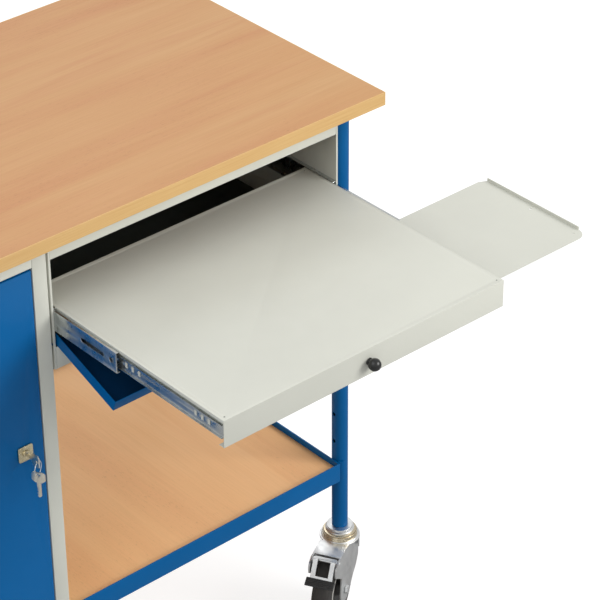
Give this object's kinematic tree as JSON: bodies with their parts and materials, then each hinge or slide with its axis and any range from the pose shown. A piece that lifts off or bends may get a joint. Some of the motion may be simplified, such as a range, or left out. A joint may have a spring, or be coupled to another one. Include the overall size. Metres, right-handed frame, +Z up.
{
  "type": "workbench with drawers",
  "caption": "Mobile workbench on braked swivel castors: beech top, lockable cabinet, housing with drop flap, pull-out tray on slides and a sliding side tray.",
  "frame": {"origin": "on the floor, under the middle of the whole object's box as it stands with the tray and the side tray pulled out", "axes": "+X along the worktop to the user's right, +Y from the front to the back, +Z up"},
  "size_m": [1.3276, 1.074, 1.102],
  "materials": {
    "beech_laminate": "satin beech laminate, pale beech edge band",
    "blue_coat": "blue powder coat, semi-gloss",
    "grey_coat": "light grey powder coat, semi-matt",
    "zinc_plate": "bright zinc plate",
    "nickel_plate": "worn nickel plate",
    "rubber_tyre": "matt dark rubber on a moulded wheel",
    "black_plastic": "black moulded plastic"
  },
  "bodies": {
    "bench": {"cabinet_back": "grey_coat", "cabinet_floor": "grey_coat", "cabinet_inner_shelf": "grey_coat", "cabinet_side_left": "grey_coat", "cabinet_side_right": "grey_coat", "cabinet_top_rail": "grey_coat", "castor_head_front_left": "zinc_plate", "castor_head_front_right": "zinc_plate", "castor_head_rear_left": "zinc_plate", "castor_head_rear_right": "zinc_plate", "housing_back": "grey_coat", "housing_floor": "grey_coat", "housing_side_left": "grey_coat", "housing_side_right": "grey_coat", "housing_top_rail": "grey_coat", "leg_front_left": "blue_coat", "leg_front_right": "blue_coat", "leg_rear_left": "blue_coat", "leg_rear_right": "blue_coat", "lower_shelf_board": "beech_laminate", "shelf_rail_back": "blue_coat", "shelf_rail_front": "blue_coat", "shelf_rail_left": "blue_coat", "shelf_rail_right": "blue_coat", "shelf_saddle_front_left": "blue_coat", "shelf_saddle_front_right": "blue_coat", "shelf_saddle_rear_left": "blue_coat", "shelf_saddle_rear_right": "blue_coat", "slide_outer_left": "zinc_plate", "slide_outer_right": "zinc_plate", "worktop_board": "beech_laminate"},
    "door": {"cabinet_door": "blue_coat", "lock_body": "nickel_plate"},
    "lock_core": {"lock_barrel": "nickel_plate"},
    "key_body": {"key": "nickel_plate"},
    "ring_body": {"key_ring": "zinc_plate"},
    "spare_key_body": {"spare_key": "nickel_plate"},
    "tray": {"pull_out_tray": "grey_coat", "tray_knob": "black_plastic", "slide_inner_left": "zinc_plate", "slide_inner_right": "zinc_plate", "mouse_tray_carrier": "grey_coat"},
    "middle_left": {"slide_middle_left": "zinc_plate"},
    "middle_right": {"slide_middle_right": "zinc_plate"},
    "side_tray": {"mouse_tray": "grey_coat"},
    "flap": {"drop_flap": "blue_coat"},
    "fork_front_right": {"castor_fork_front_right": "zinc_plate", "castor_axle_front_right": "zinc_plate"},
    "wheel_front_right": {"castor_wheel_front_right": "rubber_tyre"},
    "fork_front_left": {"castor_fork_front_left": "zinc_plate", "castor_axle_front_left": "zinc_plate"},
    "wheel_front_left": {"castor_wheel_front_left": "rubber_tyre"},
    "fork_rear_right": {"castor_fork_rear_right": "zinc_plate", "castor_axle_rear_right": "zinc_plate"},
    "wheel_rear_right": {"castor_wheel_rear_right": "rubber_tyre"},
    "fork_rear_left": {"castor_fork_rear_left": "zinc_plate", "castor_axle_rear_left": "zinc_plate"},
    "wheel_rear_left": {"castor_wheel_rear_left": "rubber_tyre"},
    "pedal_front_right": {"brake_pedal_front_right": "black_plastic"},
    "pedal_front_left": {"brake_pedal_front_left": "black_plastic"}
  },
  "joints": [
    {"name": "door_hinge", "type": "hinge", "parent": "bench", "child": "door", "pos_m": [-0.49517, -0.09366, 0.709], "axis": [0, 0, -1], "range_deg": [0, 110]},
    {"name": "lock_turn", "type": "hinge", "parent": "door", "child": "lock_core", "pos_m": [-0.27017, -0.09566, 0.709], "axis": [0, -1, 0], "range_deg": [0, 90]},
    {"name": "key_pull", "type": "slide", "parent": "lock_core", "child": "key_body", "axis": [0, -1, 0], "range_m": [0, 0.012]},
    {"name": "ring_swing", "type": "hinge", "parent": "key_body", "child": "ring_body", "pos_m": [-0.27017, -0.12966, 0.709], "axis": [1, 0, 0], "range_deg": [-10, 10]},
    {"name": "spare_key_swing", "type": "hinge", "parent": "ring_body", "child": "spare_key_body", "pos_m": [-0.27017, -0.12966, 0.683], "axis": [0.866, 0.5, 0], "range_deg": [-8, 8]},
    {"name": "tray_slide", "type": "slide", "parent": "bench", "child": "tray", "axis": [0, -1, 0], "range_m": [-0.085, 0]},
    {"name": "middle_slide_left", "type": "slide", "parent": "bench", "child": "middle_left", "axis": [0, -1, 0], "range_m": [-0.0425, 0]},
    {"name": "middle_slide_right", "type": "slide", "parent": "bench", "child": "middle_right", "axis": [0, -1, 0], "range_m": [-0.0425, 0]},
    {"name": "side_tray_slide", "type": "slide", "parent": "tray", "child": "side_tray", "axis": [-1, 0, 0], "range_m": [0, 0.25]},
    {"name": "flap_hinge", "type": "hinge", "parent": "bench", "child": "flap", "pos_m": [0.10583, -0.08966, 0.887], "axis": [-1, 0, 0], "range_deg": [0, 15]},
    {"name": "swivel_front_right", "type": "hinge", "parent": "bench", "child": "fork_front_right", "pos_m": [0.42983, -0.08066, 0.177], "axis": [0, 0, 1], "continuous": true},
    {"name": "wheel_spin_front_right", "type": "hinge", "parent": "fork_front_right", "child": "wheel_front_right", "pos_m": [0.39047, -0.10248, 0.08], "axis": [0.4848, -0.8746, 0], "continuous": true},
    {"name": "swivel_front_left", "type": "hinge", "parent": "bench", "child": "fork_front_left", "pos_m": [-0.54617, -0.08066, 0.177], "axis": [0, 0, 1], "continuous": true},
    {"name": "wheel_spin_front_left", "type": "hinge", "parent": "fork_front_left", "child": "wheel_front_left", "pos_m": [-0.58553, -0.10248, 0.08], "axis": [0.4848, -0.8746, 0], "continuous": true},
    {"name": "swivel_rear_right", "type": "hinge", "parent": "bench", "child": "fork_rear_right", "pos_m": [0.42983, 0.49934, 0.177], "axis": [0, 0, 1], "continuous": true},
    {"name": "wheel_spin_rear_right", "type": "hinge", "parent": "fork_rear_right", "child": "wheel_rear_right", "pos_m": [0.39047, 0.47752, 0.08], "axis": [0.4848, -0.8746, 0], "continuous": true},
    {"name": "swivel_rear_left", "type": "hinge", "parent": "bench", "child": "fork_rear_left", "pos_m": [-0.54617, 0.49934, 0.177], "axis": [0, 0, 1], "continuous": true},
    {"name": "wheel_spin_rear_left", "type": "hinge", "parent": "fork_rear_left", "child": "wheel_rear_left", "pos_m": [-0.58553, 0.47752, 0.08], "axis": [0.4848, -0.8746, 0], "continuous": true},
    {"name": "brake_front_right", "type": "hinge", "parent": "fork_front_right", "child": "pedal_front_right", "pos_m": [0.35986, -0.11945, 0.166], "axis": [0.4848, -0.8746, 0], "range_deg": [0, 7]},
    {"name": "brake_front_left", "type": "hinge", "parent": "fork_front_left", "child": "pedal_front_left", "pos_m": [-0.61614, -0.11945, 0.166], "axis": [0.4848, -0.8746, 0], "range_deg": [0, 7]}
  ],
  "couplings": [
    {"joint": "middle_slide_left", "follows": "tray_slide", "ratio": 0.5},
    {"joint": "middle_slide_right", "follows": "tray_slide", "ratio": 0.5}
  ]
}
